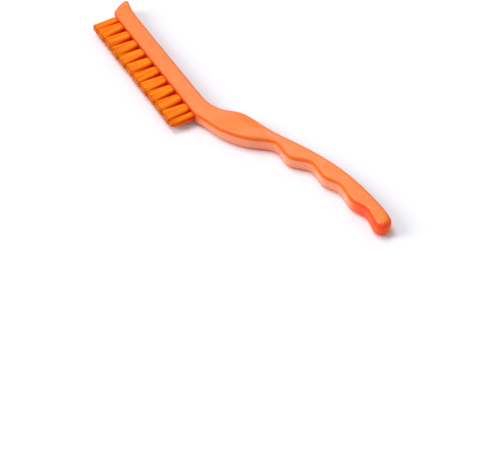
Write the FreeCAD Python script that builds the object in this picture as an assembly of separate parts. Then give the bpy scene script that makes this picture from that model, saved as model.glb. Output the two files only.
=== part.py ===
"""Grout brush: a moulded handle, staple-set bristle tufts and the wire anchors that hold them.

The brush lies on its side. +X runs along the head from nose to tail, the bristles point to -Y,
and +Z is across the brush. The model is drawn about the first full tuft, at the face that the
tufts come out of, and is moved at the end so that the origin is under the middle of it.
All sizes are millimetres and degrees.
"""
import FreeCAD
import Part

import math
import os

V = FreeCAD.Vector

# Row of tuft holes: full ones, and a smaller one at either end
FULL_TUFTS = 10
HOLE_DIAMETER = 4.2
HOLE_WALL = 3.8
NOSE_HOLE_DIAMETER = 3.4
NOSE_WALL = 2.6
HEEL_HOLE_DIAMETER = 2.8
HEEL_WALL = 1.9
HOLE_DEPTH = 6.0
HEAD_MARGIN = 1.4

# Tufts
TRIM_LENGTH = 13.5
TIP_FLARE = 0.75
TUFT_CLEARANCE = 0.05

# Wire anchors, driven along the row across the bottom of each hole
ANCHOR_THICKNESS = 0.4
ANCHOR_HEIGHT = 1.8
ANCHOR_BITE = 0.6
ANCHOR_CLEARANCE = 0.05
FOLD_HEIGHT = 0.9

# Head
HEAD_DEPTH = 10.0
NOSE_MARGIN = 9.6
NOSE_SLANT = 0.6
NOSE_ROUND = 8.4
NOSE_CHIN_SHARE = 0.55
NOSE_ROUND_SHARE = 0.44
LIP_RISE = 1.6
LIP_LENGTH = 17.0
LIP_RADIUS = 1.4

# Handle
HEEL_MARGIN = 2.6
HEEL_ROUND = 1.6
NECK_SETBACK = 12.0
HANDLE_LENGTH = 118.5
HANDLE_ANGLE = 18.0
BACK_CROWN = 19.8
GROOVE_DEPTH = 3.5
HANDLE_WIDTH = 8.4
EDGE_RADIUS = 1.3

# Slanted facets beside the thumb rest: each is part of a wide cone that stands beyond the back
FACET_REACH = 7.0
FACET_DROP = 1.0
FACET_RADIUS = 30.4

# Length that every cutter runs past the face it cuts
OVERRUN = 2.0

# Outline of the handle, from the heel of the head round the tail to the neck. Each row gives the
# place along the handle as a share of its length, the place across it as a share of the back's
# crown, and how much of the groove depth is added there.
BELLY_SHARES = (
    (0.034, 0.014, 0.0),
    (0.075, 0.008, 0.0),
    (0.130, 0.005, 0.0),
    (0.198, 0.068, 0.0),
    (0.265, 0.212, 0.0),
    (0.325, 0.440, 0.0),
    (0.371, 0.384, 1.0),
    (0.464, 0.414, 0.0),
    (0.557, 0.444, 1.0),
    (0.650, 0.460, 0.0),
    (0.711, 0.400, 0.69),
    (0.826, 0.303, 0.0),
    (0.886, 0.197, 0.71),
    (0.952, 0.121, 0.0),
)
TAIL_SHARES = (
    (0.982, 0.080, 0.0),
    (1.003, 0.175, 0.0),
    (1.009, 0.320, 0.0),
    (0.999, 0.478, 0.0),
    (0.967, 0.585, 0.0),
)
BACK_SHARES = (
    (0.885, 0.738, 0.0),
    (0.784, 0.885, 0.0),
    (0.664, 0.990, 0.0),
    (0.556, 1.000, 0.0),
    (0.452, 0.957, 0.0),
    (0.353, 0.883, 0.0),
    (0.240, 0.860, 0.0),
    (0.168, 0.878, 0.0),
    (0.148, 0.868, 0.0),
    (0.100, 0.752, 0.0),
    (0.060, 0.632, 0.0),
    (0.015, 0.582, 0.0),
)
# Places along the handle, as shares of its length, where it starts and stops widening
NECK_PLACE_SHARE = 0.060
PALM_PLACE_SHARE = 0.220

# Thumb rest: its place along the handle, and across it as a share of the crown
THUMB_PLACE_SHARE = 0.156
THUMB_CROWN_SHARE = 0.872

# A face that looks across the brush less than the first share is a wall of the side view, and
# one that looks across it more than the second is a flank
WALL_LEAN_SHARE = 0.1
FLANK_LEAN_SHARE = 0.5

# Sizes that follow from those above
TUFT_PITCH = HOLE_DIAMETER + HOLE_WALL
HEAD_WIDTH = HOLE_DIAMETER + 2 * HEAD_MARGIN
LAST_TUFT_X = (FULL_TUFTS - 1) * TUFT_PITCH
NOSE_TUFT_X = -(HOLE_DIAMETER + NOSE_HOLE_DIAMETER) / 2 - NOSE_WALL
HEEL_TUFT_X = LAST_TUFT_X + (HOLE_DIAMETER + HEEL_HOLE_DIAMETER) / 2 + HEEL_WALL
NOSE_X = NOSE_TUFT_X - NOSE_MARGIN
HEEL_X = HEEL_TUFT_X + HEEL_MARGIN
ALONG = V(math.cos(math.radians(HANDLE_ANGLE)), math.sin(math.radians(HANDLE_ANGLE)), 0)
ACROSS = V(-ALONG.y, ALONG.x, 0)


def place(length_share, crown_share, groove_share=0.0):
    """Point of the handle outline, on the mid-plane of the brush."""
    across = BACK_CROWN * crown_share + GROOVE_DEPTH * groove_share
    return V(HEEL_X, 0, 0) + ALONG * (HANDLE_LENGTH * length_share) + ACROSS * across


def smooth_chain(points, start, end):
    """Edges of one smooth curve through the points, with the given directions at its ends."""
    curve = Part.BSplineCurve()
    curve.interpolate(Points=points, InitialTangent=start, FinalTangent=end)
    knots = curve.getKnots()
    edges = []
    for low, high in zip(knots, knots[1:]):
        piece = curve.copy()
        piece.segment(low, high)
        edges.append(piece.toShape())
    return edges


def bezier(points):
    """Smooth edge drawn by its control points."""
    curve = Part.BezierCurve()
    curve.setPoles(points)
    return curve.toShape()


def profile_prism(width):
    """The brush seen from the side, as thick as the width given."""
    root_start = V(NOSE_X + NOSE_ROUND, 0, 0)
    heel = V(HEEL_X - HEEL_ROUND, 0, 0)
    neck = V(HEEL_X - NECK_SETBACK, HEAD_DEPTH, 0)
    lip = V(NOSE_X + LIP_LENGTH, HEAD_DEPTH, 0)
    lip_middle = V((lip.x + NOSE_X) / 2, HEAD_DEPTH, 0)
    corner = V(NOSE_X, HEAD_DEPTH + LIP_RISE, 0)
    chin = V(NOSE_X + NOSE_SLANT, HEAD_DEPTH * NOSE_CHIN_SHARE, 0)
    chin_root = V(NOSE_X + NOSE_ROUND * NOSE_ROUND_SHARE, 0, 0)
    handle = [place(*row) for row in BELLY_SHARES + TAIL_SHARES + BACK_SHARES]
    edges = smooth_chain([heel] + handle + [neck], V(1, 0, 0), V(-1, 0, 0))
    edges.append(Part.makeLine(neck, lip))
    edges.append(bezier([lip, lip_middle, corner]))
    edges.append(bezier([corner, chin, chin_root, root_start]))
    edges.append(Part.makeLine(root_start, heel))
    face = Part.Face(Part.Wire(edges))
    face.translate(V(0, 0, -width / 2))
    prism = face.extrude(V(0, 0, width))
    upright = min(prism.Edges, key=lambda edge: side_view_reach(edge, corner))
    return prism.makeFillet(LIP_RADIUS, [upright])


def side_view_reach(edge, point):
    """How far the ends of the edge are from the point, seen from the side."""
    ends = [vertex.Point for vertex in edge.Vertexes]
    return max(math.hypot(end.x - point.x, end.y - point.y) for end in ends)


def plan_prism(depth):
    """The brush seen from its back: a narrow head that swells into the wider handle."""
    reach = HANDLE_LENGTH * ALONG.x
    neck_x = HEEL_X + reach * NECK_PLACE_SHARE
    palm_x = HEEL_X + reach * PALM_PLACE_SHARE
    middle_x = (neck_x + palm_x) / 2
    start_x = NOSE_X - OVERRUN
    end_x = HEEL_X + reach + OVERRUN
    head = HEAD_WIDTH / 2
    grip = HANDLE_WIDTH / 2
    edges = []
    for side in (1, -1):
        low = V(neck_x, 0, side * head)
        high = V(palm_x, 0, side * grip)
        swell = [low, V(middle_x, 0, low.z), V(middle_x, 0, high.z), high]
        edges.append(Part.makeLine(V(start_x, 0, low.z), low))
        edges.append(bezier(swell))
        edges.append(Part.makeLine(high, V(end_x, 0, high.z)))
    edges.append(Part.makeLine(V(start_x, 0, head), V(start_x, 0, -head)))
    edges.append(Part.makeLine(V(end_x, 0, grip), V(end_x, 0, -grip)))
    face = Part.Face(Part.Wire(Part.__sortEdges__(edges)))
    face.translate(V(0, -depth, 0))
    return face.extrude(V(0, 2 * depth, 0))


def long_edges(body):
    """Edges where a wall of the side view meets one of the two flanks."""
    chosen = []
    for edge in body.Edges:
        faces = body.ancestorsOfType(edge, Part.Face)
        lean = [abs(lean_across(face, edge)) for face in faces]
        if len(lean) == 2 and min(lean) < WALL_LEAN_SHARE and max(lean) > FLANK_LEAN_SHARE:
            chosen.append(edge)
    return chosen


def lean_across(face, edge):
    """How far the face at the middle of the edge looks across the brush, from -1 to 1."""
    middle = edge.valueAt((edge.FirstParameter + edge.LastParameter) / 2)
    u, v = face.Surface.parameter(middle)
    return face.normalAt(u, v).z


def thumb_facet(side):
    """Cone that cuts the slanted facet beside the thumb rest on one flank."""
    slope = FACET_DROP / FACET_REACH
    height = FACET_RADIUS * slope + OVERRUN
    thumb = place(THUMB_PLACE_SHARE, THUMB_CROWN_SHARE)
    centre = thumb + ACROSS * (FACET_RADIUS - FACET_REACH)
    apex = centre + V(0, 0, side * (HANDLE_WIDTH / 2 - FACET_RADIUS * slope))
    return Part.makeCone(0, height / slope, height, apex, V(0, 0, side))


def handle_blank():
    """The moulded handle before its holes, with rounded edges and thumb facets."""
    depth = HANDLE_LENGTH + HEAD_DEPTH
    body = profile_prism(HANDLE_WIDTH + OVERRUN).common(plan_prism(depth)).Solids[0]
    body = body.makeFillet(EDGE_RADIUS, long_edges(body))
    for side in (1, -1):
        body = body.cut(thumb_facet(side))
    return body.Solids[0]


def tuft_places():
    """Name, place along the head and hole diameter of each tuft, from the nose to the heel."""
    places = [("nose_%s", NOSE_TUFT_X, NOSE_HOLE_DIAMETER)]
    for index in range(FULL_TUFTS):
        places.append(("%%s_%02d" % (index + 1), index * TUFT_PITCH, HOLE_DIAMETER))
    places.append(("heel_%s", HEEL_TUFT_X, HEEL_HOLE_DIAMETER))
    return places


def anchor_block(hole, clearance):
    """Flat wire across a hole, centred on its axis, grown by the clearance all round."""
    length = hole + 2 * (ANCHOR_BITE + clearance)
    height = ANCHOR_HEIGHT + 2 * clearance
    thickness = ANCHOR_THICKNESS + 2 * clearance
    base = HOLE_DEPTH - FOLD_HEIGHT - ANCHOR_HEIGHT - clearance
    return Part.makeBox(length, height, thickness, V(-length / 2, base, -thickness / 2))


def hole_cutter(hole):
    """Blind hole for one tuft, with the pocket that its anchor bites into."""
    bore = Part.makeCylinder(hole / 2, HOLE_DEPTH + OVERRUN, V(0, -OVERRUN, 0), V(0, 1, 0))
    return bore.fuse(anchor_block(hole, ANCHOR_CLEARANCE))


def tuft(hole):
    """Bundle folded round its anchor, straight in the hole and flared to the trimmed tip."""
    root = hole / 2 - TUFT_CLEARANCE
    stub_length = HOLE_DEPTH - TUFT_CLEARANCE
    stub = Part.makeCylinder(root, stub_length, V(0, 0, 0), V(0, 1, 0))
    fan = Part.makeCone(root, root + TIP_FLARE, TRIM_LENGTH, V(0, 0, 0), V(0, -1, 0))
    return stub.fuse(fan).cut(anchor_block(hole, ANCHOR_CLEARANCE)).Solids[0]


def build():
    """Every node of the brush, by name, about the first full tuft."""
    nodes = {}
    handle = handle_blank()
    for name, x, hole in tuft_places():
        spot = V(x, 0, 0)
        cutter = hole_cutter(hole)
        cutter.translate(spot)
        handle = handle.cut(cutter)
        for kind, shape in (("tuft", tuft(hole)), ("anchor", anchor_block(hole, 0.0))):
            shape.translate(spot)
            nodes[name % kind] = shape
    nodes["handle"] = handle.Solids[0]
    return nodes


def main():
    """Build the brush, set its origin under its middle and write one file per node."""
    os.makedirs("parts", exist_ok=True)
    nodes = build()
    box = Part.makeCompound(list(nodes.values())).optimalBoundingBox()
    shift = V(-box.Center.x, -box.Center.y, -box.ZMin)
    print("size %.2f x %.2f x %.2f mm" % (box.XLength, box.YLength, box.ZLength))
    print("first full tuft at %.3f %.3f %.3f mm" % tuple(shift))
    for name, shape in sorted(nodes.items()):
        shape.translate(shift)
        print("%-12s valid %s volume %9.3f mm3" % (name, shape.isValid(), shape.Volume))
        shape.exportStep("parts/%s.step" % name)


main()
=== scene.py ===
"""Grout brush on its side on a plain pale floor: moulded handle, filament tufts and a small studio."""
import logging
import math
from dataclasses import dataclass
from enum import Enum
from typing import Any

import bmesh
import bpy
import numpy as np
from mathutils import Matrix, Vector


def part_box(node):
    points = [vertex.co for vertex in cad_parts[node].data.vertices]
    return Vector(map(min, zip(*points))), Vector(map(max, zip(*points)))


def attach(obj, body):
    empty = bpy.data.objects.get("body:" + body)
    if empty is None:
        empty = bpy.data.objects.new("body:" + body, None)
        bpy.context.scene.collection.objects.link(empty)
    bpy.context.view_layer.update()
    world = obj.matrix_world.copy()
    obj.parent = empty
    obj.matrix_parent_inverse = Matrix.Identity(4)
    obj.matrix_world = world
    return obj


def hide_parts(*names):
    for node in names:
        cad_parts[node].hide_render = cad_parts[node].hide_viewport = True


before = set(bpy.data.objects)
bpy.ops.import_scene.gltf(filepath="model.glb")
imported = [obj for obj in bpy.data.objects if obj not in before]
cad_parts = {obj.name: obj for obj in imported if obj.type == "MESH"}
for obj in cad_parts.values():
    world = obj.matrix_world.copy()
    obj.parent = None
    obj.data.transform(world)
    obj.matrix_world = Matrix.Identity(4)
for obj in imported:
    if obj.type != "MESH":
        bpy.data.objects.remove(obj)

log = logging.getLogger("grout_brush")
MM = 0.001
ROOT_BODY = "root"
MATH = "ShaderNodeMath"
VECTOR = "ShaderNodeVectorMath"
GOLDEN_ANGLE = math.pi * (3 - math.sqrt(5))
# Where nearly all of a noise texture's values lie
NOISE_SPAN = (0.3, 0.7)
Socket = bpy.types.NodeSocket


def linear(hex_colour: str) -> tuple[float, float, float, float]:
    """Turn an sRGB hex colour into linear RGBA.

    Args:
        hex_colour: colour as "#RRGGBB".

    Returns:
        Red, green, blue and alpha, all from 0 to 1.
    """
    values = []
    for start in (1, 3, 5):
        value = int(hex_colour[start:start + 2], 16) / 255
        values.append(value / 12.92 if value <= 0.04045 else ((value + 0.055) / 1.055) ** 2.4)
    return values[0], values[1], values[2], 1.0


def add_node(tree: bpy.types.NodeTree, kind: str, settings: dict[str, Any] | None = None,
             inputs: dict[str | int, Any] | None = None) -> bpy.types.Node:
    """Add a node to a tree, set its properties, and set or link its inputs.

    Args:
        tree: the tree that gets the node.
        kind: Blender's name for the kind of node.
        settings: properties of the node, by name.
        inputs: values, or output sockets to link from, by the input's name or number.

    Returns:
        The new node.
    """
    node = tree.nodes.new(kind)
    for name, value in (settings or {}).items():
        setattr(node, name, value)
    for socket, value in (inputs or {}).items():
        if isinstance(value, Socket):
            tree.links.new(value, node.inputs[socket])
        else:
            node.inputs[socket].default_value = value
    return node


def new_material(name: str) -> tuple[bpy.types.Material, bpy.types.NodeTree]:
    """Make a material with an empty node tree.

    Args:
        name: the material's name.

    Returns:
        The material and its tree.
    """
    material = bpy.data.materials.new(name)
    material.use_nodes = True
    material.node_tree.nodes.clear()
    return material, material.node_tree


def new_object(name: str, mesh: bpy.types.Mesh) -> bpy.types.Object:
    """Put a mesh into the scene as an object at the origin.

    Args:
        name: the object's name.
        mesh: its mesh.

    Returns:
        The new object.
    """
    made = bpy.data.objects.new(name, mesh)
    bpy.context.scene.collection.objects.link(made)
    return made


def applied(piece: bpy.types.Object) -> None:
    """Turn a piece and its modifiers into a plain mesh, and take the modifiers off.

    Args:
        piece: the object to make plain.
    """
    graph = bpy.context.evaluated_depsgraph_get()
    mesh = bpy.data.meshes.new_from_object(piece.evaluated_get(graph), depsgraph=graph)
    piece.modifiers.clear()
    old = piece.data
    piece.data = mesh
    mesh.name = piece.name
    bpy.data.meshes.remove(old)


class Flank(Enum):
    """The two broad sides of the brush."""

    NEAR = 1
    FAR = -1


class TuftKind(Enum):
    """Where a tuft stands in the row."""

    NOSE = "nose"
    FULL = "full"
    HEEL = "heel"


@dataclass(frozen=True)
class MouldedPolypropylene:
    """Orange polypropylene as it comes out of a finely blasted mould.

    It gives a waxy half-gloss with a broad soft highlight, a faint flow mottle in the colour, a very
    shallow unevenness that breaks up reflections, and red light that seeps a little way through. The
    rounded edges are matt and have a deeper colour painted on as shade, so they draw a soft line round
    the flanks. The narrow side under the fingers is polished and catches the pale floor. Towards the
    tail's end that side and its edges get a painted red shade and lose the polish, and the face that
    the tufts come out of gets their red shade painted on.

    Each turn is how squarely a face looks along an axis where a mask starts, and where it is full: the
    flank and wall turns along Z, and the back and held turns along Y.
    """

    name: str = "moulded_polypropylene_orange"
    body: str = "#FF800E"
    flow: str = "#FD780B"
    # Painted shade on the rounded edges
    edge: str = "#EC6A0A"
    # Painted red shade towards the tail's end
    glow: str = "#FF4A10"
    # Painted red shade of the tufts on the face they come out of
    shaded: str = "#D8460A"
    roughness: float = 0.26
    edge_roughness: float = 0.75
    ior: float = 1.50
    polish_ior: float = 2.1
    polish_roughness: float = 0.22
    seep: float = 0.6
    seep_mm: float = 2.2
    seep_colours: tuple[float, float, float] = (1.0, 0.30, 0.12)
    flow_mm: float = 14.0
    peel_mm: float = 1.6
    peel_depth_mm: float = 0.010
    scuff_mm: float = 5.0
    scuff_spread: tuple[float, float] = (-0.03, 0.05)
    shade_mm: float = 0.9
    most_shade: float = 0.9
    tail_mm: tuple[float, float] = (29.0, 17.0)
    most_tail_shade: float = 0.9
    flank_turn: tuple[float, float] = (0.995, 0.80)
    wall_turn: tuple[float, float] = (0.05, 0.25)
    back_turn: tuple[float, float] = (0.7, 0.1)
    held_turn: tuple[float, float] = (-0.3, -0.7)

    def material(self, root: float, tail: float) -> bpy.types.Material:
        """Make the material.

        Args:
            root: where the face that the tufts come out of lies along Y.
            tail: where the tail ends along X.

        Returns:
            The material.
        """
        material, tree = new_material(self.name)
        place = add_node(tree, "ShaderNodeTexCoord").outputs["Object"]
        flow = add_node(tree, "ShaderNodeTexNoise", None, {
            "Vector": place, "Scale": 1 / (self.flow_mm * MM), "Detail": 3.0, "Roughness": 0.5})
        facing = add_node(tree, "ShaderNodeTexCoord").outputs["Normal"]
        facing = add_node(tree, "ShaderNodeSeparateXYZ", None, {0: facing}).outputs
        across = add_node(tree, MATH, {"operation": "ABSOLUTE"}, {0: facing[2]}).outputs[0]
        spot = add_node(tree, "ShaderNodeSeparateXYZ", None, {0: place}).outputs

        # Masks: what each one reads, where it starts and ends, and how strong it gets
        fades = {"off_flank": (across, self.flank_turn, 1.0),
                 "off_wall": (across, self.wall_turn, 1.0),
                 "on_wall": (across, self.wall_turn[::-1], 1.0),
                 "off_back": (facing[1], self.back_turn, 1.0),
                 "held": (facing[1], self.held_turn, 1.0),
                 # Where the tail's painted red shade lies
                 "tail": (spot[0], [tail - reach * MM for reach in self.tail_mm], self.most_tail_shade),
                 # Where the tufts' painted shade lies, on the face they come out of
                 "root": (spot[1], (root + self.shade_mm * MM, root), self.most_shade)}
        mask = {}
        for name, (value, (start, end), most) in fades.items():
            mask[name] = add_node(tree, "ShaderNodeMapRange", {"interpolation_type": "SMOOTHSTEP"}, {
                "Value": value, "From Min": start, "From Max": end, "To Min": 0.0, "To Max": most}).outputs[0]
        # Painted red shade towards the tail's end, on faces that do not look to the back
        painted_tail_shade = add_node(tree, MATH, {"operation": "MULTIPLY"}, {
            0: mask["tail"], 1: mask["off_back"]}).outputs[0]
        # Edges and the tail's end: painted shade in the colour, and a real matt finish
        edge = add_node(tree, MATH, {"operation": "MAXIMUM"}, {0: mask["off_wall"], 1: painted_tail_shade}).outputs[0]
        edge = add_node(tree, MATH, {"operation": "MULTIPLY"}, {0: mask["off_flank"], 1: edge}).outputs[0]
        # Away from the painted tail shade the narrow side keeps its polish
        outside_tail_shade = add_node(tree, MATH, {"operation": "SUBTRACT"}, {0: 1.0, 1: painted_tail_shade}).outputs[0]
        polish = add_node(tree, MATH, {"operation": "MULTIPLY"}, {0: mask["on_wall"], 1: mask["held"]})
        polish = add_node(tree, MATH, {"operation": "MULTIPLY"}, {0: polish.outputs[0], 1: outside_tail_shade})

        # Colours laid over each other: flow marks, then the painted shade on the edges and the tail's end,
        # then the painted shade of the tufts
        painted_edge_shade = add_node(tree, "ShaderNodeMix", {"data_type": "RGBA"}, {
            0: painted_tail_shade, 6: linear(self.edge), 7: linear(self.glow)}).outputs[2]
        colour = linear(self.body)
        for share, over in ((flow.outputs[0], linear(self.flow)), (edge, painted_edge_shade),
                            (mask["root"], linear(self.shaded))):
            colour = add_node(tree, "ShaderNodeMix", {"data_type": "RGBA"}, {
                0: share, 6: colour, 7: over}).outputs[2]

        # Gloss and the shallow unevenness of the skin
        scuff = add_node(tree, "ShaderNodeTexNoise", None, {
            "Vector": place, "Scale": 1 / (self.scuff_mm * MM), "Detail": 5.0, "Roughness": 0.65})
        matt = add_node(tree, "ShaderNodeMapRange", None, {
            "Value": scuff.outputs[0], "From Min": NOISE_SPAN[0], "From Max": NOISE_SPAN[1],
            "To Min": self.roughness + self.scuff_spread[0], "To Max": self.roughness + self.scuff_spread[1]})
        gloss = add_node(tree, "ShaderNodeMix", {"data_type": "FLOAT"}, {
            0: edge, 2: matt.outputs[0], 3: self.edge_roughness})
        peel = add_node(tree, "ShaderNodeTexNoise", None, {
            "Vector": place, "Scale": 1 / (self.peel_mm * MM), "Detail": 2.0})
        bump = add_node(tree, "ShaderNodeBump", None, {
            "Height": peel.outputs[0], "Strength": 0.5, "Distance": self.peel_depth_mm * MM})
        shader = add_node(tree, "ShaderNodeBsdfPrincipled", None, {
            "Base Color": colour, "Roughness": gloss.outputs[0], "IOR": self.ior,
            "Coat Weight": polish.outputs[0], "Coat IOR": self.polish_ior,
            "Coat Roughness": self.polish_roughness, "Subsurface Weight": self.seep,
            "Subsurface Radius": self.seep_colours, "Subsurface Scale": self.seep_mm * MM,
            "Normal": bump.outputs[0]})
        add_node(tree, "ShaderNodeOutputMaterial", None, {"Surface": shader.outputs[0]})
        return material


@dataclass(frozen=True)
class PolyesterFilament:
    """Extruded polyester bristle, dyed a yellower orange than the handle.

    No two filaments are quite the same tone, so a tuft looks streaked from root to tip. Where a tuft
    looks at the next one a deeper red is painted on as shade, most of all near their roots, and the
    cut ends are painted darker as shade. Streaks are drawn three filaments wide, because those of
    single filaments are too fine to show.
    """

    name: str = "extruded_polyester_filament"
    pale: str = "#FFA014"
    deep: str = "#FF6206"
    # Painted shade between the tufts
    between_shade: str = "#FF1A00"
    # Painted shade on the cut ends
    ends: str = "#CC660E"
    roughness: float = 0.50
    ior: float = 1.57
    shine: float = 0.10
    streak_mm: float = 0.9
    streak_stretch: float = 0.06
    own_tone: float = 0.3
    between_along: tuple[float, float] = (0.25, 1.0)
    between_share: tuple[float, float] = (0.95, 0.3)
    end_along: tuple[float, float] = (0.97, 1.0)
    most_end_shade: float = 0.8

    def material(self) -> bpy.types.Material:
        """Make the material.

        Returns:
            The material.
        """
        material, tree = new_material(self.name)
        read = {}
        for name in ("shade", "along", "side"):
            read[name] = add_node(tree, "ShaderNodeAttribute", {"attribute_name": name}).outputs["Fac"]
        place = add_node(tree, "ShaderNodeTexCoord").outputs["Object"]
        drawn = add_node(tree, "ShaderNodeMapping", None, {
            "Vector": place, "Scale": (1, self.streak_stretch, 1)})
        streak = add_node(tree, "ShaderNodeTexNoise", None, {
            "Vector": drawn.outputs[0], "Scale": 1 / (self.streak_mm * MM), "Detail": 2.0})
        streak = add_node(tree, "ShaderNodeMapRange", None, {
            "Value": streak.outputs[0], "From Min": NOISE_SPAN[0], "From Max": NOISE_SPAN[1]})
        mixed = add_node(tree, "ShaderNodeMix", {"data_type": "FLOAT"}, {
            0: self.own_tone, 2: streak.outputs[0], 3: read["shade"]})
        depth = add_node(tree, "ShaderNodeMapRange", None, {
            "Value": read["along"], "From Min": self.between_along[0], "From Max": self.between_along[1],
            "To Min": self.between_share[0], "To Max": self.between_share[1]})
        # Painted shade where a tuft looks at the next one, deepest near the roots
        painted_between_shade = add_node(tree, MATH, {"operation": "MULTIPLY"}, {0: read["side"], 1: depth.outputs[0]})
        # Painted shade on the cut ends of the filaments
        end = add_node(tree, "ShaderNodeMapRange", None, {
            "Value": read["along"], "From Min": self.end_along[0], "From Max": self.end_along[1],
            "To Min": 0.0, "To Max": self.most_end_shade})
        colour = linear(self.pale)
        for share, over in ((mixed, self.deep), (painted_between_shade, self.between_shade), (end, self.ends)):
            colour = add_node(tree, "ShaderNodeMix", {"data_type": "RGBA"}, {
                0: share.outputs[0], 6: colour, 7: linear(over)}).outputs[2]
        shader = add_node(tree, "ShaderNodeBsdfPrincipled", None, {
            "Base Color": colour, "Roughness": self.roughness, "IOR": self.ior,
            "Specular IOR Level": self.shine})
        add_node(tree, "ShaderNodeOutputMaterial", None, {"Surface": shader.outputs[0]})
        return material


@dataclass(frozen=True)
class DrawnWire:
    """Flattened steel wire: dull silver with draw lines along its length, coarser than real ones to show."""

    name: str = "flattened_drawn_steel_wire"
    bright: str = "#B9B5AC"
    dull: str = "#8F8A80"
    roughness: float = 0.38
    line_mm: float = 0.12
    line_stretch: float = 0.05

    def material(self) -> bpy.types.Material:
        """Make the material.

        Returns:
            The material.
        """
        material, tree = new_material(self.name)
        place = add_node(tree, "ShaderNodeTexCoord").outputs["Object"]
        drawn = add_node(tree, "ShaderNodeMapping", None, {
            "Vector": place, "Scale": (self.line_stretch, 1, 1)})
        lines = add_node(tree, "ShaderNodeTexNoise", None, {
            "Vector": drawn.outputs[0], "Scale": 1 / (self.line_mm * MM), "Detail": 2.0})
        tone = add_node(tree, "ShaderNodeMix", {"data_type": "RGBA"}, {
            0: lines.outputs[0], 6: linear(self.bright), 7: linear(self.dull)})
        shader = add_node(tree, "ShaderNodeBsdfPrincipled", None, {
            "Base Color": tone.outputs[2], "Metallic": 1.0, "Roughness": self.roughness})
        add_node(tree, "ShaderNodeOutputMaterial", None, {"Surface": shader.outputs[0]})
        return material


@dataclass(frozen=True)
class PaperSweep:
    """White paper floor that keeps the brush's soft shadow."""

    name: str = "white_paper_floor"
    paper: str = "#F6F8FF"

    def material(self) -> bpy.types.Material:
        """Make the material.

        Returns:
            The material.
        """
        material, tree = new_material(self.name)
        paper = add_node(tree, "ShaderNodeBsdfDiffuse", None, {"Color": linear(self.paper)})
        add_node(tree, "ShaderNodeOutputMaterial", None, {"Surface": paper.outputs[0]})
        return material


def bezier(poles: list[np.ndarray], count: int) -> np.ndarray:
    """Points along a Bezier curve.

    Args:
        poles: its control points.
        count: how many points to give.

    Returns:
        The points, one row each.
    """
    t = np.linspace(0, 1, count)[:, None]
    degree = len(poles) - 1
    total = np.zeros((count, 2))
    for k, pole in enumerate(poles):
        total += math.comb(degree, k) * t ** k * (1 - t) ** (degree - k) * pole
    return total


def smooth_curve(points: np.ndarray, start: np.ndarray, end: np.ndarray, step: int) -> np.ndarray:
    """Smooth curve through points, with the given directions at its ends.

    Args:
        points: the points to go through.
        start: direction at the first point.
        end: direction at the last point.
        step: how many pieces each span is drawn in.

    Returns:
        Points along the curve.
    """
    chords = np.linalg.norm(np.diff(points, axis=0), axis=1)
    count = len(points)
    matrix = np.zeros((count, count))
    right = np.zeros((count, 2))
    matrix[0, 0] = 1
    matrix[-1, -1] = 1
    right[0] = start
    right[-1] = end
    for k in range(1, count - 1):
        before, after = chords[k - 1], chords[k]
        matrix[k, k - 1:k + 2] = after, 2 * (before + after), before
        slope_before = (points[k] - points[k - 1]) / before
        slope_after = (points[k + 1] - points[k]) / after
        right[k] = 3 * (after * slope_before + before * slope_after)
    slopes = np.linalg.solve(matrix, right)
    drawn = []
    for k in range(count - 1):
        t = np.linspace(0, 1, step, endpoint=False)[:, None]
        straight = (2 * t ** 3 - 3 * t ** 2 + 1) * points[k] + (3 * t ** 2 - 2 * t ** 3) * points[k + 1]
        bend = (t ** 3 - 2 * t ** 2 + t) * slopes[k] + (t ** 3 - t ** 2) * slopes[k + 1]
        drawn.append(straight + chords[k] * bend)
    drawn.append(points[-1:])
    return np.concatenate(drawn)


def resampled(points: np.ndarray, count: int) -> np.ndarray:
    """Spread points evenly along a polyline.

    Args:
        points: the polyline.
        count: how many points to give, both ends among them.

    Returns:
        The new points.
    """
    run = np.concatenate([[0], np.cumsum(np.linalg.norm(np.diff(points, axis=0), axis=1))])
    places = np.linspace(0, run[-1], count)
    return np.stack([np.interp(places, run, points[:, k]) for k in range(2)], axis=1)


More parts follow.
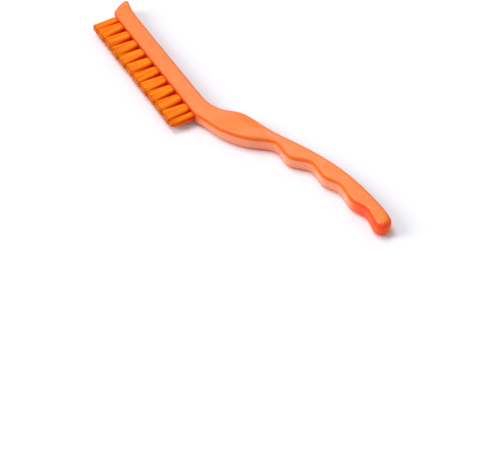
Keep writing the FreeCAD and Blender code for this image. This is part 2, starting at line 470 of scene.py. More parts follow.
@dataclass
class Handle:
    """The moulding: head, neck, thumb rest, finger grooves and tail. Sizes are millimetres.

    They are laid out about the first full tuft, at the face that the tufts come out of. The rows of
    shares are places along and across the handle and how much of the groove depth is added. Knots are
    counted from the belly's last row, or for the thumb rest from the back's last row.
    """

    datum: Vector
    heel_x: float = 80.0
    heel_round: float = 1.6
    neck_setback: float = 12.0
    head_depth: float = 10.0
    head_width: float = 7.0
    nose_x: float = -16.0
    nose_slant: float = 0.6
    nose_round: float = 8.4
    nose_chin_share: float = 0.55
    nose_round_share: float = 0.44
    lip_rise: float = 1.6
    lip_length: float = 17.0
    lip_radius: float = 1.9
    length: float = 118.5
    angle: float = 18.0
    crown: float = 19.8
    groove: float = 3.5
    width: float = 8.4
    edge_radius: float = 2.0
    root_edge_radius: float = 0.80
    root_edge_ease: float = 6.0
    nose_edge_radius: float = 0.7
    nose_edge_reach: float = 2.5
    nose_edge_ease: float = 8.0
    tail_edge_radius: float = 3.2
    tail_edge_ease: float = 13.0
    neck_share: float = 0.060
    palm_share: float = 0.220
    facet_reach: float = 7.0
    facet_drop: float = 1.0
    facet_radius: float = 30.4
    facet_blend: float = 0.22
    thumb_shares: tuple[float, float] = (0.156, 0.872)
    parting_height: float = 0.02
    parting_width: float = 0.5
    hole_depth: float = 5.0
    drill_overrun: float = 2.0
    drill_sides: int = 40
    sharp_angle: float = 42.0
    wall_row_share: float = 0.6
    edge_steps: int = 7
    flank_columns: int = 16
    nose_points: int = 120
    corner_points: int = 24
    span_points: int = 40
    run_points: tuple[int, int, int, int] = (36, 150, 60, 190)
    tip_point: int = 8
    tail_knot: int = 3
    palm_knot: int = -9
    thumb_knot: int = -4
    belly_shares: tuple[tuple[float, float, float], ...] = (
        (0.034, 0.014, 0.0), (0.075, 0.008, 0.0), (0.130, 0.005, 0.0), (0.198, 0.068, 0.0),
        (0.265, 0.212, 0.0), (0.325, 0.440, 0.0), (0.371, 0.384, 1.0), (0.464, 0.414, 0.0),
        (0.557, 0.444, 1.0), (0.650, 0.460, 0.0), (0.711, 0.400, 0.69), (0.826, 0.303, 0.0),
        (0.886, 0.197, 0.71), (0.952, 0.121, 0.0))
    tail_shares: tuple[tuple[float, float, float], ...] = (
        (0.982, 0.080, 0.0), (1.003, 0.175, 0.0), (1.009, 0.320, 0.0), (0.999, 0.478, 0.0),
        (0.967, 0.585, 0.0))
    back_shares: tuple[tuple[float, float, float], ...] = (
        (0.885, 0.738, 0.0), (0.784, 0.885, 0.0), (0.664, 0.990, 0.0), (0.556, 1.000, 0.0),
        (0.452, 0.957, 0.0), (0.353, 0.883, 0.0), (0.240, 0.860, 0.0), (0.168, 0.878, 0.0),
        (0.148, 0.868, 0.0), (0.100, 0.752, 0.0), (0.060, 0.632, 0.0), (0.015, 0.582, 0.0))

    def place(self, length_share: float, crown_share: float, groove_share: float = 0.0) -> np.ndarray:
        """Find a point of the handle's outline.

        Args:
            length_share: place along the handle, as a share of its length.
            crown_share: place across it, as a share of the back's crown.
            groove_share: how much of the groove depth is added.

        Returns:
            The point, seen from the side.
        """
        along = self.length * length_share
        across = self.crown * crown_share + self.groove * groove_share
        turn = math.radians(self.angle)
        return np.array([self.heel_x + along * math.cos(turn) - across * math.sin(turn),
                         along * math.sin(turn) + across * math.cos(turn)])

    def sides(self) -> tuple[np.ndarray, np.ndarray]:
        """Draw the outline as two lines, along the belly and along the back.

        Returns:
            Points from the nose's tip to the tail's tip, as many on either line.
        """
        root = np.array([self.nose_x + self.nose_round, 0.0])
        heel = np.array([self.heel_x - self.heel_round, 0.0])
        neck = np.array([self.heel_x - self.neck_setback, self.head_depth])
        lip = np.array([self.nose_x + self.lip_length, self.head_depth])
        lip_middle = np.array([(lip[0] + self.nose_x) / 2, self.head_depth])
        corner = np.array([self.nose_x, self.head_depth + self.lip_rise])
        chin = np.array([self.nose_x + self.nose_slant, self.head_depth * self.nose_chin_share])
        chin_root = np.array([self.nose_x + self.nose_round * self.nose_round_share, 0.0])

        nose = bezier([corner, chin, chin_root, root], self.nose_points)
        lip_line = bezier([corner, lip_middle, lip], self.nose_points)
        nose_run = np.linalg.norm(nose - corner, axis=1)
        lip_run = np.linalg.norm(lip_line - corner, axis=1)
        nose_kept = nose[nose_run > self.lip_radius]
        lip_kept = lip_line[lip_run > self.lip_radius]
        rounded = bezier([nose_kept[0], corner, lip_kept[0]], self.corner_points)

        rows = self.belly_shares + self.tail_shares + self.back_shares
        knots = np.array([heel] + [self.place(*row) for row in rows] + [neck])
        step = self.span_points
        grip = smooth_curve(knots, np.array([1.0, 0.0]), np.array([-1.0, 0.0]), step)
        tail = (len(self.belly_shares) + self.tail_knot) * step
        palm = (len(self.belly_shares) + self.palm_knot) * step
        thumb = (len(rows) + self.thumb_knot) * step

        tip = self.tip_point
        back_nose = np.concatenate([nose_kept[tip::-1], rounded[1:-1], lip_kept])
        belly_runs = (nose_kept[tip:], np.array([root, heel]), grip[:palm + 1], grip[palm:tail + 1])
        back_runs = (back_nose, np.array([lip, neck]), grip[:thumb - 1:-1], grip[thumb:tail - 1:-1])
        lines = []
        for runs in (belly_runs, back_runs):
            pieces = [resampled(run, count + 1)[:-1] for run, count in zip(runs, self.run_points)]
            lines.append(np.concatenate(pieces + [grip[tail:tail + 1]]))
        return lines[0], lines[1]

    def half_width(self, x: np.ndarray) -> np.ndarray:
        """Half of the width of the brush at places along it.

        Args:
            x: places along the head's direction.

        Returns:
            Half widths at those places.
        """
        reach = self.length * math.cos(math.radians(self.angle))
        low = self.heel_x + reach * self.neck_share
        high = self.heel_x + reach * self.palm_share
        t = np.clip((x - low) / (high - low), 0, 1)
        return (self.head_width + (self.width - self.head_width) * t * t * (3 - 2 * t)) / 2

    def faceted(self, points: np.ndarray, height: np.ndarray) -> np.ndarray:
        """Lower the flank to the slanted facet beside the thumb rest.

        Args:
            points: places seen from the side.
            height: height of the flank over the mid-plane at those places.

        Returns:
            Heights with the facet cut.
        """
        turn = math.radians(self.angle)
        lean = np.array([-math.sin(turn), math.cos(turn)])
        centre = self.place(*self.thumb_shares) + lean * (self.facet_radius - self.facet_reach)
        away = np.linalg.norm(points - centre, axis=-1)
        cone = self.width / 2 - (self.facet_radius - away) * self.facet_drop / self.facet_reach
        near = np.maximum(self.facet_blend - np.abs(height - cone), 0) / self.facet_blend
        return np.minimum(height, cone) - near * near * self.facet_blend / 4

    def ring_profile(self) -> list[tuple[float, float, float, float]]:
        """Cross-section of the wall from its middle to the flank.

        Returns:
            Rows of the parting line's height, share of the straight wall's half height, and inset and
            rise as shares of the edge's radius.
        """
        rows = [(self.parting_height, 0.0, 0.0, 0.0),
                (0.0, self.parting_width / self.head_width, 0.0, 0.0),
                (0.0, self.wall_row_share, 0.0, 0.0)]
        for k in range(self.edge_steps + 1):
            turn = math.pi / 2 * k / self.edge_steps
            rows.append((0.0, 1.0, 1 - math.cos(turn), math.sin(turn)))
        return rows

    def edge_radii(self, belly: np.ndarray, back: np.ndarray) -> np.ndarray:
        """Radius of the edges round the outline: tight at the tufts and the nose, wide at the tail.

        Args:
            belly: the outline along the belly.
            back: the outline along the back, without its ends.

        Returns:
            Radii at the points of both, in that order.
        """
        start = self.nose_x + self.nose_round
        end = self.heel_x - self.heel_round
        tight = np.interp(belly[:, 0], [start - self.root_edge_ease, start, end, end + self.root_edge_ease],
                          [0.0, 1.0, 1.0, 0.0])
        eased = self.edge_radius + (self.root_edge_radius - self.edge_radius) * tight
        radii = np.concatenate([eased, np.full(len(back), self.edge_radius)])
        outline = np.concatenate([belly, back])
        reach = np.linalg.norm(outline - belly[-1], axis=1)
        wide = np.interp(reach, [0, self.tail_edge_ease], [1.0, 0.0])
        radii = radii + (self.tail_edge_radius - self.edge_radius) * wide * wide * (3 - 2 * wide)
        corner = np.array([self.nose_x, self.head_depth + self.lip_rise])
        reach = np.linalg.norm(outline - corner, axis=1)
        limit = np.interp(reach, [self.nose_edge_reach, self.nose_edge_ease],
                          [self.nose_edge_radius, self.edge_radius])
        return np.where(reach < self.nose_edge_ease, np.minimum(radii, limit), radii)

    def mesh(self) -> bpy.types.Mesh:
        """Build the moulding's surface without its holes.

        Returns:
            A closed mesh in the frame's metres.
        """
        belly, back = self.sides()
        ring = np.concatenate([belly, back[-2:0:-1]])
        count = len(ring)
        ahead = np.roll(ring, -1, axis=0) - np.roll(ring, 1, axis=0)
        ahead /= np.linalg.norm(ahead, axis=1)[:, None]
        inward = np.stack([-ahead[:, 1], ahead[:, 0]], axis=1)
        half = self.half_width(ring[:, 0])
        radius = self.edge_radii(belly, back[-2:0:-1])
        work = bmesh.new()

        def lay(points: np.ndarray, height: np.ndarray) -> list[bmesh.types.BMVert]:
            """Add a row of vertices at places and heights over the mid-plane."""
            spots = np.concatenate([points, height[:, None]], axis=1) * MM
            return [work.verts.new(Vector(spot) + self.datum) for spot in spots]

        rings = {}
        profile = self.ring_profile()
        for flank in Flank:
            for k, (line, wall, inset, rise) in enumerate(profile):
                if k == 0 and flank is Flank.FAR:
                    rings[flank, k] = rings[Flank.NEAR, 0]
                    continue
                points = ring + inward * (radius * inset - line)[:, None]
                height = (half - radius) * wall + radius * rise
                height = height if wall < 1 else self.faceted(points, height)
                rings[flank, k] = lay(points, height * flank.value)
        for flank in Flank:
            for k in range(len(profile) - 1):
                low, high = rings[flank, k], rings[flank, k + 1]
                for i in range(count):
                    j = (i + 1) % count
                    work.faces.new((low[i], low[j], high[j], high[i]))

        across = self.flank_columns
        middle = count // 2
        for flank in Flank:
            edge = ring + inward * radius[:, None]
            top = rings[flank, len(profile) - 1]
            rungs = [[top[0]]]
            for i in range(1, middle):
                share = np.linspace(0, 1, across + 1)[1:-1, None]
                points = edge[i] * (1 - share) + edge[count - i] * share
                height = self.faceted(points, self.half_width(points[:, 0]))
                rungs.append([top[i]] + lay(points, height * flank.value) + [top[count - i]])
            rungs.append([top[middle]])
            for low, high in zip(rungs, rungs[1:]):
                for k in range(across):
                    corners = [low[min(k, len(low) - 1)], low[min(k + 1, len(low) - 1)],
                               high[min(k + 1, len(high) - 1)], high[min(k, len(high) - 1)]]
                    work.faces.new(list(dict.fromkeys(corners)))
        bmesh.ops.recalc_face_normals(work, faces=work.faces)
        mesh = bpy.data.meshes.new("handle_moulding")
        work.to_mesh(mesh)
        work.free()
        return mesh

    def build(self, tufts: list["Tuft"]) -> bpy.types.Object:
        """Make the moulding with a hole for each tuft.

        Args:
            tufts: the tufts that the holes are for.

        Returns:
            The finished piece, without its material.
        """
        piece = new_object("handle_moulding", self.mesh())
        drills = bmesh.new()
        depth = self.hole_depth * MM
        overrun = self.drill_overrun * MM
        for tuft in tufts:
            spot = tuft.root + Vector((0, (depth - overrun) / 2, 0))
            turn = Matrix.Translation(spot) @ Matrix.Rotation(math.pi / 2, 4, "X")
            bmesh.ops.create_cone(drills, cap_ends=True, segments=self.drill_sides, matrix=turn,
                                  radius1=tuft.hole_radius, radius2=tuft.hole_radius, depth=depth + overrun)
        mesh = bpy.data.meshes.new("drills")
        drills.to_mesh(mesh)
        drills.free()
        cutter = new_object("drills", mesh)
        cut = piece.modifiers.new("holes", "BOOLEAN")
        cut.operation = "DIFFERENCE"
        cut.solver = "EXACT"
        cut.object = cutter
        applied(piece)
        bpy.data.objects.remove(cutter)
        piece.data.polygons.foreach_set("use_smooth", [True] * len(piece.data.polygons))
        piece.data.set_sharp_from_angle(angle=math.radians(self.sharp_angle))
        return piece

    def dress(self, piece: bpy.types.Object, finish: MouldedPolypropylene) -> None:
        """Give the moulding its finish and tie it to the frame.

        Args:
            piece: the moulding.
            finish: its plastic.
        """
        piece.data.materials.clear()
        tail = self.datum.x + self.sides()[0][:, 0].max() * MM
        piece.data.materials.append(finish.material(self.datum.y, tail))
        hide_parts("handle")
        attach(piece, ROOT_BODY)


@dataclass(frozen=True)
class TuftShape:
    """How one kind of tuft is set and trimmed. Sizes are millimetres."""

    hole_radius: float
    tip_half: tuple[float, float]
    tip_shift: float
    dome: float


@dataclass
class Tuft:
    """One bundle of filaments in its hole. Sizes are metres."""

    node: str
    kind: TuftKind
    root: Vector
    hole_radius: float
    tip_half: Vector
    tip_shift: Vector
    dome: float


@dataclass
class FilamentBundle:
    """Node tree that makes one tuft: filaments that lie over a packed core.

    Sizes are inputs of the tree, in metres. The shares and counts here serve every tuft.
    """

    squareness: float = 1.30
    crowding: float = 0.15
    dome_power: float = 4.0
    core_share: float = 1.02
    core_tip_share: float = 0.20
    core_sides: int = 56
    core_rows: int = 28
    core_row_power: float = 2.0
    core_shade: float = 0.5
    beside_span: tuple[float, float] = (0.85, 1.0)
    between_span: tuple[float, float] = (0.9, 0.5)
    line_points: int = 10
    wire_sides: int = 6
    stray_power: float = 1.7

    def __post_init__(self) -> None:
        """Open the tree and name its inputs."""
        self.tree = bpy.data.node_groups.new("filament_bundle", "GeometryNodeTree")
        kinds = {"Geometry": "NodeSocketGeometry", "Filaments": "NodeSocketInt",
                 "Root": "NodeSocketVector", "Hole half": "NodeSocketVector",
                 "Swell half": "NodeSocketVector", "Tip half": "NodeSocketVector",
                 "Tip shift": "NodeSocketVector", "Length": "NodeSocketFloat",
                 "Whole length": "NodeSocketFloat", "Fold depth": "NodeSocketFloat",
                 "Bulge length": "NodeSocketFloat", "Dome": "NodeSocketFloat",
                 "Core shortfall": "NodeSocketFloat", "Filament radius": "NodeSocketFloat",
                 "Stray": "NodeSocketFloat", "Uneven": "NodeSocketFloat",
                 "Seed": "NodeSocketInt", "Material": "NodeSocketMaterial"}
        self.names = {}
        for name, kind in kinds.items():
            socket = self.tree.interface.new_socket(name=name, in_out="INPUT", socket_type=kind)
            self.names[name] = socket.identifier
        self.tree.interface.new_socket(name="Geometry", in_out="OUTPUT", socket_type="NodeSocketGeometry")
        self.given = add_node(self.tree, "NodeGroupInput").outputs

    def spread(self, way: Socket, out: Socket) -> dict[str, Socket]:
        """Work out how points of the bundle lie across it.

        Args:
            way: direction from the middle of the bundle.
            out: how far they are from the middle towards the outside, from 0 to 1.

        Returns:
            Their spot in the hole, how they bulge past its mouth and fan to the tip, and how much the
            bundle looks at the next tuft there.
        """
        tree, given = self.tree, self.given
        spot = add_node(tree, VECTOR, {"operation": "SCALE"}, {0: way, 3: out}).outputs[0]
        spot = add_node(tree, VECTOR, {"operation": "MULTIPLY"}, {0: spot, 1: given["Hole half"]}).outputs[0]
        square = add_node(tree, VECTOR, {"operation": "SCALE"}, {0: way, 3: self.squareness}).outputs[0]
        square = add_node(tree, VECTOR, {"operation": "MINIMUM"}, {0: square, 1: (1, 1, 1)}).outputs[0]
        square = add_node(tree, VECTOR, {"operation": "MAXIMUM"}, {0: square, 1: (-1, -1, -1)}).outputs[0]
        away = add_node(tree, VECTOR, {"operation": "ABSOLUTE"}, {0: square}).outputs[0]
        away = add_node(tree, "ShaderNodeSeparateXYZ", None, {0: away}).outputs
        # How much the bundle looks at the next tuft, which is where the painted shade between tufts goes
        side = 1.0
        for value, (start, end) in ((away[0], self.beside_span), (away[2], self.between_span)):
            fade = add_node(tree, "ShaderNodeMapRange", {"interpolation_type": "SMOOTHSTEP"}, {
                "Value": value, "From Min": start, "From Max": end}).outputs[0]
            side = add_node(tree, MATH, {"operation": "MULTIPLY"}, {0: side, 1: fade}).outputs[0]
        square = add_node(tree, VECTOR, {"operation": "SCALE"}, {0: square, 3: out}).outputs[0]
        swollen = add_node(tree, VECTOR, {"operation": "MULTIPLY"}, {
            0: square, 1: given["Swell half"]}).outputs[0]
        bulge = add_node(tree, VECTOR, {"operation": "SUBTRACT"}, {0: swollen, 1: spot}).outputs[0]
        tip = add_node(tree, VECTOR, {"operation": "MULTIPLY_ADD"}, {
            0: square, 1: given["Tip half"], 2: given["Tip shift"]}).outputs[0]
        fan = add_node(tree, VECTOR, {"operation": "SUBTRACT"}, {0: tip, 1: swollen}).outputs[0]
        return {"spot": spot, "bulge": bulge, "fan": fan, "side": side}

    def placed(self, share: dict[str, Socket], factor: Socket,
               cut: Socket) -> tuple[Socket, Socket]:
        """Place points of the bundle along it.

        Args:
            share: what spread gives for them.
            factor: how far along the cut length they are, from 0 at the fold to 1 at the tip.
            cut: the cut length.

        Returns:
            Their places, and how far along the free length they are, from 0 to 1.
        """
        tree, given = self.tree, self.given
        run = add_node(tree, MATH, {"operation": "MULTIPLY"}, {0: factor, 1: cut}).outputs[0]
        below = add_node(tree, MATH, {"operation": "SUBTRACT"}, {0: run, 1: given["Fold depth"]}).outputs[0]
        rise = add_node(tree, MATH, {"operation": "MULTIPLY"}, {0: below, 1: -1.0}).outputs[0]
        below = add_node(tree, MATH, {"operation": "MAXIMUM"}, {0: below, 1: 0.0}).outputs[0]
        free = add_node(tree, MATH, {"operation": "DIVIDE"}, {0: below, 1: given["Length"]}).outputs[0]
        swell = add_node(tree, MATH, {"operation": "DIVIDE"}, {0: below, 1: given["Bulge length"]}).outputs[0]
        swell = add_node(tree, MATH, {"operation": "MINIMUM"}, {0: swell, 1: 1.0}).outputs[0]
        height = add_node(tree, "ShaderNodeCombineXYZ", None, {1: rise}).outputs[0]
        bulge = add_node(tree, VECTOR, {"operation": "SCALE"}, {0: share["bulge"], 3: swell}).outputs[0]
        fan = add_node(tree, VECTOR, {"operation": "SCALE"}, {0: share["fan"], 3: free}).outputs[0]
        total = given["Root"]
        for more in (share["spot"], height, bulge, fan):
            total = add_node(tree, VECTOR, {"operation": "ADD"}, {0: total, 1: more}).outputs[0]
        return total, free

    def filaments(self) -> Socket:
        """Lay the filaments as thin tubes.

        Returns:
            Their mesh.
        """
        tree, given = self.tree, self.given

        # Each filament's place in the hole: a sunflower spiral, crowded towards the outside that is seen
        index = add_node(tree, "GeometryNodeInputIndex").outputs[0]
        part = add_node(tree, MATH, {"operation": "ADD"}, {0: index, 1: 0.5}).outputs[0]
        part = add_node(tree, MATH, {"operation": "DIVIDE"}, {0: part, 1: given["Filaments"]}).outputs[0]
        turn = add_node(tree, MATH, {"operation": "MULTIPLY"}, {0: index, 1: GOLDEN_ANGLE}).outputs[0]
        east = add_node(tree, MATH, {"operation": "COSINE"}, {0: turn}).outputs[0]
        north = add_node(tree, MATH, {"operation": "SINE"}, {0: turn}).outputs[0]
        way = add_node(tree, "ShaderNodeCombineXYZ", None, {0: east, 2: north}).outputs[0]
        out = add_node(tree, MATH, {"operation": "POWER"}, {0: part, 1: self.crowding}).outputs[0]
        share = self.spread(way, out)

        # Each one's own lean, tone and cut length: the ends are trimmed to a low dome
        lean = add_node(tree, "FunctionNodeRandomValue", {"data_type": "FLOAT_VECTOR"}, {
            0: (-1, -1, -1), 1: (1, 1, 1), 7: index, 8: given["Seed"]}).outputs[0]
        shade = add_node(tree, "FunctionNodeRandomValue", {"data_type": "FLOAT"}, {
            2: 0.0, 3: 1.0, 7: index, 8: given["Seed"]}).outputs[1]
        slip = add_node(tree, "ShaderNodeSeparateXYZ", None, {0: lean}).outputs[1]
        slip = add_node(tree, MATH, {"operation": "MULTIPLY_ADD"}, {
            0: slip, 1: given["Uneven"], 2: given["Whole length"]}).outputs[0]
        drop = add_node(tree, MATH, {"operation": "POWER"}, {0: out, 1: self.dome_power}).outputs[0]
        drop = add_node(tree, MATH, {"operation": "MULTIPLY"}, {0: drop, 1: given["Dome"]}).outputs[0]
        cut = add_node(tree, MATH, {"operation": "SUBTRACT"}, {0: slip, 1: drop}).outputs[0]

        # One line per filament, which carries these values
        cloud = add_node(tree, "GeometryNodePoints", None, {0: given["Filaments"]}).outputs[0]
        for name, value in {"shade": shade, "cut": cut, "side": share.pop("side")}.items():
            cloud = add_node(tree, "GeometryNodeStoreNamedAttribute", {"data_type": "FLOAT"}, {
                "Geometry": cloud, "Name": name, "Value": value}).outputs[0]
        read = {}
        for name, value in {"lean": lean, **share}.items():
            cloud = add_node(tree, "GeometryNodeStoreNamedAttribute", {"data_type": "FLOAT_VECTOR"}, {
                "Geometry": cloud, "Name": name, "Value": value}).outputs[0]
            read[name] = add_node(tree, "GeometryNodeInputNamedAttribute", {"data_type": "FLOAT_VECTOR"}, {
                "Name": name}).outputs[0]
        line = add_node(tree, "GeometryNodeCurvePrimitiveLine", None, {"End": (0, -1, 0)}).outputs[0]
        line = add_node(tree, "GeometryNodeResampleCurve", None, {
            "Curve": line, "Count": self.line_points}).outputs[0]
        lines = add_node(tree, "GeometryNodeInstanceOnPoints", None, {
            "Points": cloud, "Instance": line}).outputs[0]
        lines = add_node(tree, "GeometryNodeRealizeInstances", None, {0: lines}).outputs[0]

        # Run each line out of the hole: bulged past its mouth, then fanned and strayed to the tip
        factor = add_node(tree, "GeometryNodeSplineParameter").outputs["Factor"]
        lines = add_node(tree, "GeometryNodeStoreNamedAttribute", {"data_type": "FLOAT"}, {
            "Geometry": lines, "Name": "along", "Value": factor}).outputs[0]
        cut = add_node(tree, "GeometryNodeInputNamedAttribute", {"data_type": "FLOAT"}, {
            "Name": "cut"}).outputs[0]
        total, free = self.placed(read, factor, cut)
        wander = add_node(tree, MATH, {"operation": "POWER"}, {0: free, 1: self.stray_power}).outputs[0]
        wander = add_node(tree, MATH, {"operation": "MULTIPLY"}, {0: wander, 1: given["Stray"]}).outputs[0]
        lean = add_node(tree, VECTOR, {"operation": "MULTIPLY"}, {0: read["lean"], 1: (1, 0, 1)}).outputs[0]
        lean = add_node(tree, VECTOR, {"operation": "SCALE"}, {0: lean, 3: wander}).outputs[0]
        total = add_node(tree, VECTOR, {"operation": "ADD"}, {0: total, 1: lean}).outputs[0]
        lines = add_node(tree, "GeometryNodeSetPosition", None, {
            "Geometry": lines, "Position": total}).outputs[0]

        # Give the lines their thickness
        wire = add_node(tree, "GeometryNodeCurvePrimitiveCircle", None, {
            "Resolution": self.wire_sides, "Radius": given["Filament radius"]}).outputs[0]
        tubes = add_node(tree, "GeometryNodeCurveToMesh", None, {
            "Curve": lines, "Profile Curve": wire, "Fill Caps": True}).outputs[0]
        return add_node(tree, "GeometryNodeSetShadeSmooth", None, {0: tubes}).outputs[0]

    def core(self) -> Socket:
        """Fill the middle of the bundle, which the outer filaments lie against.

        Returns:
            Its mesh, domed at the tip as the filaments are.
        """
        tree, given = self.tree, self.given
        drum = add_node(tree, "GeometryNodeMeshCylinder", {"fill_type": "NGON"}, {
            "Vertices": self.core_sides, "Side Segments": self.core_rows,
            "Radius": 1.0, "Depth": 1.0}).outputs
        core = add_node(tree, "GeometryNodeSetShadeSmooth", None, {
            0: drum["Mesh"], 1: drum["Side"], 2: True}).outputs[0]
        spot = add_node(tree, "GeometryNodeInputPosition").outputs[0]
        spot = add_node(tree, "ShaderNodeSeparateXYZ", None, {0: spot}).outputs
        north = add_node(tree, MATH, {"operation": "MULTIPLY"}, {0: spot[1], 1: -1.0}).outputs[0]
        way = add_node(tree, "ShaderNodeCombineXYZ", None, {0: spot[0], 2: north}).outputs[0]

        # Rows of the drum lie closer together towards the tip, where the dome needs them
        cut = add_node(tree, MATH, {"operation": "SUBTRACT"}, {
            0: given["Whole length"], 1: given["Core shortfall"]}).outputs[0]
        left = add_node(tree, MATH, {"operation": "ADD"}, {0: spot[2], 1: 0.5}).outputs[0]
        left = add_node(tree, MATH, {"operation": "POWER"}, {0: left, 1: self.core_row_power}).outputs[0]
        factor = add_node(tree, MATH, {"operation": "SUBTRACT"}, {0: 1.0, 1: left}).outputs[0]
        drop = add_node(tree, MATH, {"operation": "MULTIPLY"}, {0: left, 1: cut}).outputs[0]
        drop = add_node(tree, MATH, {"operation": "DIVIDE"}, {0: drop, 1: given["Dome"]}).outputs[0]
        out = add_node(tree, MATH, {"operation": "POWER"}, {0: drop, 1: 1 / self.dome_power}).outputs[0]
        out = add_node(tree, "ShaderNodeClamp", None, {0: out, 1: self.core_tip_share, 2: 1.0}).outputs[0]
        out = add_node(tree, MATH, {"operation": "MULTIPLY"}, {0: out, 1: self.core_share}).outputs[0]
        share = self.spread(way, out)
        for name, value in {"along": factor, "shade": self.core_shade, "side": share["side"]}.items():
            core = add_node(tree, "GeometryNodeStoreNamedAttribute", {"data_type": "FLOAT"}, {
                "Geometry": core, "Name": name, "Value": value}).outputs[0]
        total, _ = self.placed(share, factor, cut)
        return add_node(tree, "GeometryNodeSetPosition", None, {
            "Geometry": core, "Position": total}).outputs[0]

    def finish(self) -> None:
        """Join the filaments and the core, and give them their material."""
        tree = self.tree
        both = add_node(tree, "GeometryNodeJoinGeometry", None, {0: self.filaments()})
        tree.links.new(self.core(), both.inputs[0])
        both = add_node(tree, "GeometryNodeRealizeInstances", None, {0: both.outputs[0]}).outputs[0]
        both = add_node(tree, "GeometryNodeSetMaterial", None, {
            "Geometry": both, "Material": self.given["Material"]}).outputs[0]
        add_node(tree, "NodeGroupOutput", None, {0: both})


@dataclass
class TuftRow:
    """The single row of tufts. Sizes are millimetres."""

    trim_length: float = 13.5
    trim_scatter: float = 0.35
    full_tufts: int = 10
    nose: TuftShape = TuftShape(1.7, (2.55, 1.90), 0.45, 1.0)
    full: TuftShape = TuftShape(2.1, (3.85, 2.10), 0.0, 1.0)
    heel: TuftShape = TuftShape(1.4, (1.30, 1.45), -0.1, 2.2)
    hole_clearance: float = 0.05
    filament_radius: float = 0.15
    filament_pitch: float = 0.260
    fold_depth: float = 2.5
    swell: tuple[float, float] = (1.30, 1.38)
    bulge_length: float = 0.5
    core_shortfall: float = 0.3
    stray: float = 0.30
    uneven: float = 0.25
    seed: int = 11

    def tufts(self) -> list[Tuft]:
        """Read where the frame puts each tuft.

        Returns:
            The tufts, from the nose to the heel.
        """
        named = [("nose_tuft", TuftKind.NOSE)]
        for k in range(self.full_tufts):
            named.append((f"tuft_{k + 1:02d}", TuftKind.FULL))
        named.append(("heel_tuft", TuftKind.HEEL))
        shapes = {TuftKind.NOSE: self.nose, TuftKind.FULL: self.full, TuftKind.HEEL: self.heel}
        found = []
        for node, kind in named:
            low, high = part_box(node)
            root = Vector(((low[0] + high[0]) / 2, low[1] + self.trim_length * MM, (low[2] + high[2]) / 2))
            shape = shapes[kind]
            half = Vector((shape.tip_half[0], 0, shape.tip_half[1])) * MM
            shift = Vector((shape.tip_shift, 0, 0)) * MM
            found.append(Tuft(node, kind, root, shape.hole_radius * MM, half, shift, shape.dome * MM))
        return found

    def build(self, tufts: list[Tuft], finish: PolyesterFilament) -> list[bpy.types.Object]:
        """Make each tuft and tie it to the frame.

        Args:
            tufts: the tufts to make.
            finish: what the filaments are made of.

        Returns:
            The finished pieces.
        """
        bundle = FilamentBundle()
        bundle.finish()
        material = finish.material()
        trims = np.random.default_rng(self.seed).uniform(0, self.trim_scatter, len(tufts))
        pieces = []
        for number, tuft in enumerate(tufts):
            piece = new_object(f"{tuft.node}_filaments", bpy.data.meshes.new(tuft.node))
            nodes = piece.modifiers.new("bundle", "NODES")
            nodes.node_group = bundle.tree
            inner = tuft.hole_radius - (self.hole_clearance + self.filament_radius) * MM
            length = (self.trim_length - trims[number]) * MM
            values = {"Filaments": round((tuft.hole_radius / MM / self.filament_pitch) ** 2 * math.pi),
                      "Root": tuft.root, "Hole half": Vector((inner, 0, inner)),
                      "Swell half": Vector((inner * self.swell[0], 0, inner * self.swell[1])),
                      "Tip half": tuft.tip_half, "Tip shift": tuft.tip_shift, "Length": length,
                      "Whole length": length + self.fold_depth * MM, "Fold depth": self.fold_depth * MM,
                      "Bulge length": self.bulge_length * MM, "Dome": tuft.dome,
                      "Core shortfall": self.core_shortfall * MM,
                      "Filament radius": self.filament_radius * MM,
                      "Stray": self.stray * MM, "Uneven": self.uneven * MM,
                      "Seed": self.seed + number, "Material": material}
            for name, value in values.items():
                nodes[bundle.names[name]] = value
            applied(piece)
            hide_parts(tuft.node)
            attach(piece, ROOT_BODY)
            pieces.append(piece)
        return pieces


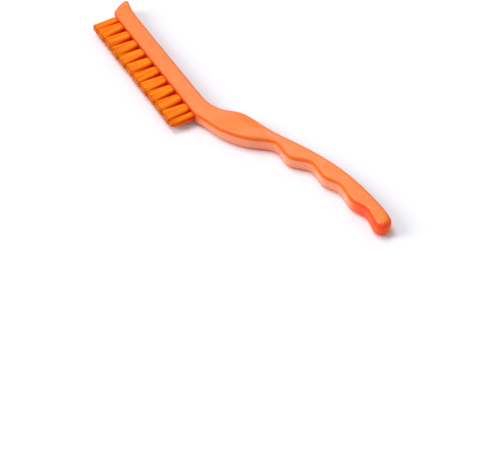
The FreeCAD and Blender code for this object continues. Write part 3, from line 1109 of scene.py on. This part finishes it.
@dataclass
class Studio:
    """Floor, lights and camera. Lengths are metres, lens and sensor millimetres, and angles degrees."""

    floor_size: float = 4.0
    floor_drop: float = 0.00005
    lens: float = 112.64
    sensor: float = 36.0
    near_clip: float = 0.01
    azimuth: float = 59.54
    elevation: float = 48.63
    camera_spot: tuple[float, float, float] = (0.493856, -0.279863, 0.55715)
    world_level: float = 0.46
    key_level: float = 0.36
    key_angle: float = 30.0
    key_way: tuple[float, float, float] = (-0.430, -0.120, 0.895)
    fill_level: float = 0.25
    fill_angle: float = 30.0
    fill_way: tuple[float, float, float] = (-0.424, -0.734, 0.530)
    glint_level: float = 0.022
    glint_angle: float = 8.0
    glint_way: tuple[float, float, float] = (-0.598, 0.366, 0.713)

    def floor(self, finish: PaperSweep) -> None:
        """Lay the floor just under the brush.

        Args:
            finish: the floor's paper.
        """
        half = self.floor_size / 2
        mesh = bpy.data.meshes.new("floor")
        corners = [(-half, -half), (half, -half), (half, half), (-half, half)]
        mesh.from_pydata([(x, y, -self.floor_drop) for x, y in corners], [], [(0, 1, 2, 3)])
        floor = new_object("floor", mesh)
        mesh.materials.append(finish.material())

    def lamp(self, name: str, way: Vector, angle: float, level: float) -> bpy.types.Object:
        """Hang a soft light so far off that it falls evenly on the floor.

        Args:
            name: the light's name.
            way: the direction that it hangs in.
            angle: how wide it looks from the brush, in degrees.
            level: how much of a white floor's full brightness it gives.

        Returns:
            The light.
        """
        light = bpy.data.lights.new(name, "SUN")
        light.angle = math.radians(angle)
        light.energy = level * math.pi / way.normalized().z
        made = bpy.data.objects.new(name, light)
        made.location = way
        made.rotation_euler = way.to_track_quat("Z", "Y").to_euler()
        bpy.context.scene.collection.objects.link(made)
        return made

    def lights(self) -> None:
        """Set the wide key light, a low fill light without glare, the small gloss light and the room."""
        self.lamp("key", Vector(self.key_way), self.key_angle, self.key_level)
        fill = self.lamp("fill", Vector(self.fill_way), self.fill_angle, self.fill_level)
        fill.visible_glossy = False
        self.lamp("glint", Vector(self.glint_way), self.glint_angle, self.glint_level)

        # The room is white where it is seen or mirrored, and gives less light than that
        world = bpy.data.worlds.new("studio")
        bpy.context.scene.world = world
        world.use_nodes = True
        tree = world.node_tree
        tree.nodes.clear()
        rays = add_node(tree, "ShaderNodeLightPath").outputs
        seen = rays["Is Camera Ray"]
        for more in ("Is Glossy Ray", "Is Transmission Ray"):
            seen = add_node(tree, MATH, {"operation": "MAXIMUM"}, {0: seen, 1: rays[more]}).outputs[0]
        level = add_node(tree, "ShaderNodeMix", {"data_type": "FLOAT"}, {
            0: seen, 2: self.world_level, 3: 1.0}).outputs[0]
        glow = add_node(tree, "ShaderNodeBackground", None, {"Color": (1, 1, 1, 1), "Strength": level})
        add_node(tree, "ShaderNodeOutputWorld", None, {"Surface": glow.outputs[0]})

    def camera(self) -> None:
        """Set the camera where the photograph was taken from."""
        lens = bpy.data.cameras.new("camera")
        lens.lens = self.lens
        lens.sensor_width = self.sensor
        lens.sensor_fit = "HORIZONTAL"
        lens.clip_start = self.near_clip
        made = bpy.data.objects.new("camera", lens)
        made.location = self.camera_spot
        made.rotation_euler = (math.radians(90 - self.elevation), 0, math.radians(self.azimuth))
        bpy.context.scene.collection.objects.link(made)
        bpy.context.scene.camera = made


def dress_anchors(finish: DrawnWire) -> int:
    """Give the buried wire anchors their metal.

    Args:
        finish: the wire.

    Returns:
        How many anchors there are.
    """
    material = finish.material()
    anchors = [made for name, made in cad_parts.items() if "anchor" in name]
    for made in anchors:
        made.data.materials.clear()
        made.data.materials.append(material)
    return len(anchors)


def main() -> None:
    """Build the brush and its studio."""
    logging.basicConfig(level=logging.INFO, format="%(message)s")
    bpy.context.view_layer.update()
    bpy.context.scene.view_settings.view_transform = "Standard"

    row = TuftRow()
    tufts = row.tufts()
    first = next(tuft for tuft in tufts if tuft.kind is TuftKind.FULL)
    handle = Handle(datum=first.root)
    moulding = handle.build(tufts)
    handle.dress(moulding, MouldedPolypropylene())
    log.info("%s: %d faces", moulding.name, len(moulding.data.polygons))
    for piece in row.build(tufts, PolyesterFilament()):
        log.info("%s: %d faces", piece.name, len(piece.data.polygons))
    log.info("anchors dressed: %d", dress_anchors(DrawnWire()))

    studio = Studio()
    studio.floor(PaperSweep())
    studio.lights()
    studio.camera()


if __name__ == "__main__":
    main()
